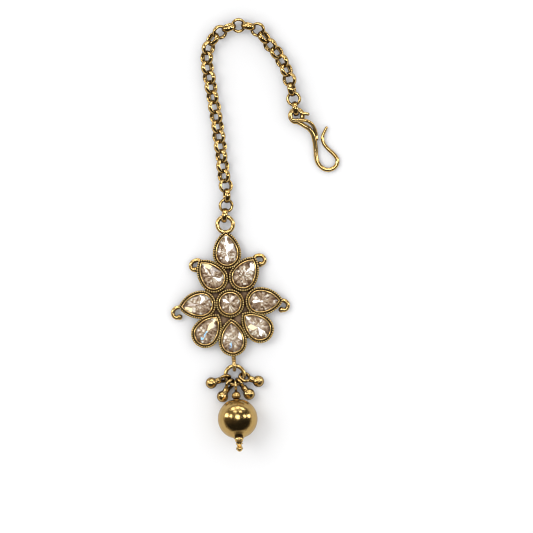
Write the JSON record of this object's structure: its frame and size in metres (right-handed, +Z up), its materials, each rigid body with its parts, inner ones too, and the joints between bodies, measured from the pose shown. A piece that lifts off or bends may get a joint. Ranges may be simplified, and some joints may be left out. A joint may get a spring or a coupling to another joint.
{
  "type": "maang tikka",
  "caption": "Flower-shaped maang tikka of pear and round stones in milgrain bezels, with a belcher chain, a wire hook, small side drops and a ball drop.",
  "frame": {"origin": "middle of the whole jewel's footprint, on the surface that it lies on", "axes": "+Y from the ball drop to the chain's bend, +X to the hook's side, +Z up out of the stones' faces"},
  "size_m": [0.037, 0.0952, 0.0088],
  "materials": {
    "antique_gold": "polished antique gold plate with dark patina in its recesses",
    "polished_gold": "mirror-polished antique gold plate, slightly clouded",
    "champagne_stone": "faceted champagne glass, foiled behind"
  },
  "bodies": {
    "root": {"setting": "antique_gold", "chain": "antique_gold", "hook": "antique_gold", "drop_jump_ring": "antique_gold", "small_drop_left": "antique_gold", "small_drop_right": "antique_gold", "small_drop_lower_left": "antique_gold", "small_drop_lower_right": "antique_gold", "head_pin": "antique_gold", "top_bead": "antique_gold", "ball_cap_bead": "antique_gold", "ball_bead": "polished_gold", "stone_centre": "champagne_stone", "stone_top": "champagne_stone", "stone_upper_left": "champagne_stone", "stone_upper_right": "champagne_stone", "stone_left": "champagne_stone", "stone_right": "champagne_stone", "stone_lower_left": "champagne_stone", "stone_lower_right": "champagne_stone", "stone_bottom": "champagne_stone"}
  },
  "joints": []
}
